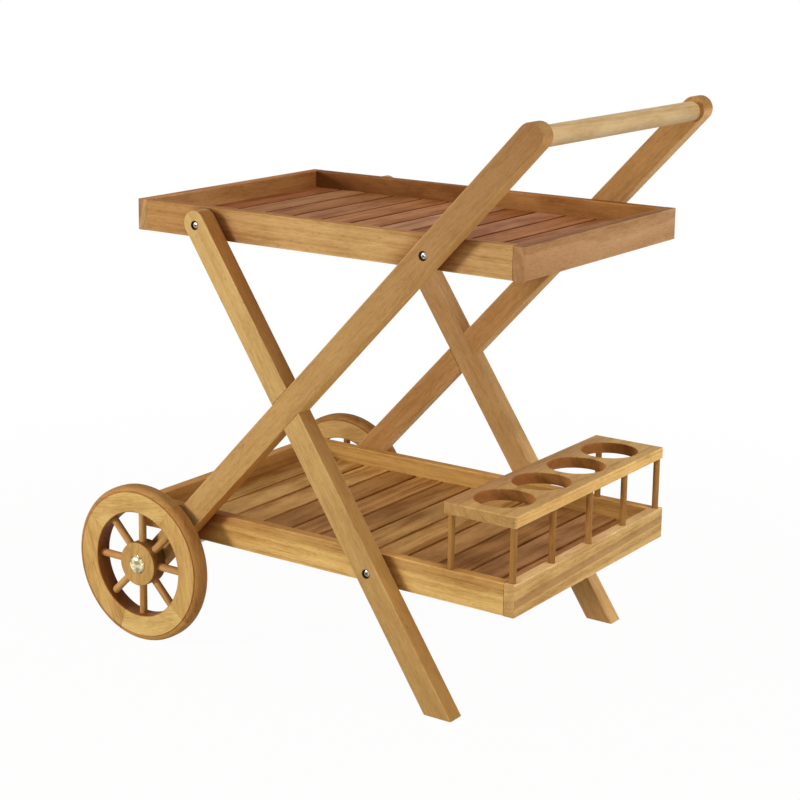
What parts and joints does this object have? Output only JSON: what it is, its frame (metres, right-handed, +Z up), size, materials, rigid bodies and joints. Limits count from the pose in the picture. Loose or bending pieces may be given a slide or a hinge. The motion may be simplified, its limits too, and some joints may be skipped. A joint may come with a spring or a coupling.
{
  "type": "bar cart",
  "caption": "Wooden bar cart: slatted trays in X frames, spoked wheels on a steel axle, a push bar and a bottle rack.",
  "frame": {"origin": "on the floor under the centre of the cart's bounding box", "axes": "+X towards the push bar, +Y towards the cart's right side, +Z up"},
  "size_m": [0.8149, 0.5832, 0.8634],
  "materials": {
    "tray_rails": "oiled teak",
    "top_slats": "oiled teak, redder",
    "lower_slats": "oiled teak, darker",
    "frame_bars": "oiled teak",
    "push_bar": "pale oiled teak",
    "rack_plate": "oiled teak",
    "dowels": "oiled teak",
    "wheel_rims": "oiled teak",
    "wheel_hubs": "oiled teak",
    "screw_steel": "satin",
    "axle_steel": "satin",
    "cap_metal": "pale polished plating"
  },
  "bodies": {
    "cart": {"top_tray_left_rail": "tray_rails", "top_tray_right_rail": "tray_rails", "top_tray_wheel_end_rail": "tray_rails", "top_tray_handle_end_rail": "tray_rails", "top_tray_left_cleat": "tray_rails", "top_tray_right_cleat": "tray_rails", "top_tray_centre_bearer": "tray_rails", "top_tray_slat_screws": "screw_steel", "top_tray_frame_screws": "screw_steel", "top_tray_slat_1": "top_slats", "top_tray_slat_2": "top_slats", "top_tray_slat_3": "top_slats", "top_tray_slat_4": "top_slats", "top_tray_slat_5": "top_slats", "top_tray_slat_6": "top_slats", "top_tray_slat_7": "top_slats", "top_tray_slat_8": "top_slats", "top_tray_slat_9": "top_slats", "top_tray_slat_10": "top_slats", "top_tray_slat_11": "top_slats", "top_tray_slat_12": "top_slats", "lower_tray_left_rail": "tray_rails", "lower_tray_right_rail": "tray_rails", "lower_tray_wheel_end_rail": "tray_rails", "lower_tray_handle_end_rail": "tray_rails", "lower_tray_left_cleat": "tray_rails", "lower_tray_right_cleat": "tray_rails", "lower_tray_centre_bearer": "tray_rails", "lower_tray_slat_screws": "screw_steel", "lower_tray_frame_screws": "screw_steel", "lower_tray_slat_1": "lower_slats", "lower_tray_slat_2": "lower_slats", "lower_tray_slat_3": "lower_slats", "lower_tray_slat_4": "lower_slats", "lower_tray_slat_5": "lower_slats", "lower_tray_slat_6": "lower_slats", "lower_tray_slat_7": "lower_slats", "lower_tray_slat_8": "lower_slats", "lower_tray_slat_9": "lower_slats", "lower_tray_slat_10": "lower_slats", "lower_tray_slat_11": "lower_slats", "lower_tray_slat_12": "lower_slats", "tray_corner_dowels": "dowels", "left_arm": "frame_bars", "right_arm": "frame_bars", "left_leg": "frame_bars", "right_leg": "frame_bars", "handle_bar": "push_bar", "bottle_rack_plate": "rack_plate", "bottle_rack_posts": "dowels", "axle": "axle_steel", "axle_washers": "axle_steel", "left_axle_cap": "cap_metal", "right_axle_cap": "cap_metal"},
    "left_wheel": {"left_wheel_rim": "wheel_rims", "left_wheel_hub": "wheel_hubs", "left_wheel_spokes": "dowels"},
    "right_wheel": {"right_wheel_rim": "wheel_rims", "right_wheel_hub": "wheel_hubs", "right_wheel_spokes": "dowels"}
  },
  "joints": [
    {"name": "left_wheel_spin", "type": "hinge", "parent": "cart", "child": "left_wheel", "pos_m": [-0.28245, -0.2713, 0.125], "axis": [0, 1, 0], "continuous": true},
    {"name": "right_wheel_spin", "type": "hinge", "parent": "cart", "child": "right_wheel", "pos_m": [-0.28245, 0.2713, 0.125], "axis": [0, 1, 0], "continuous": true}
  ]
}
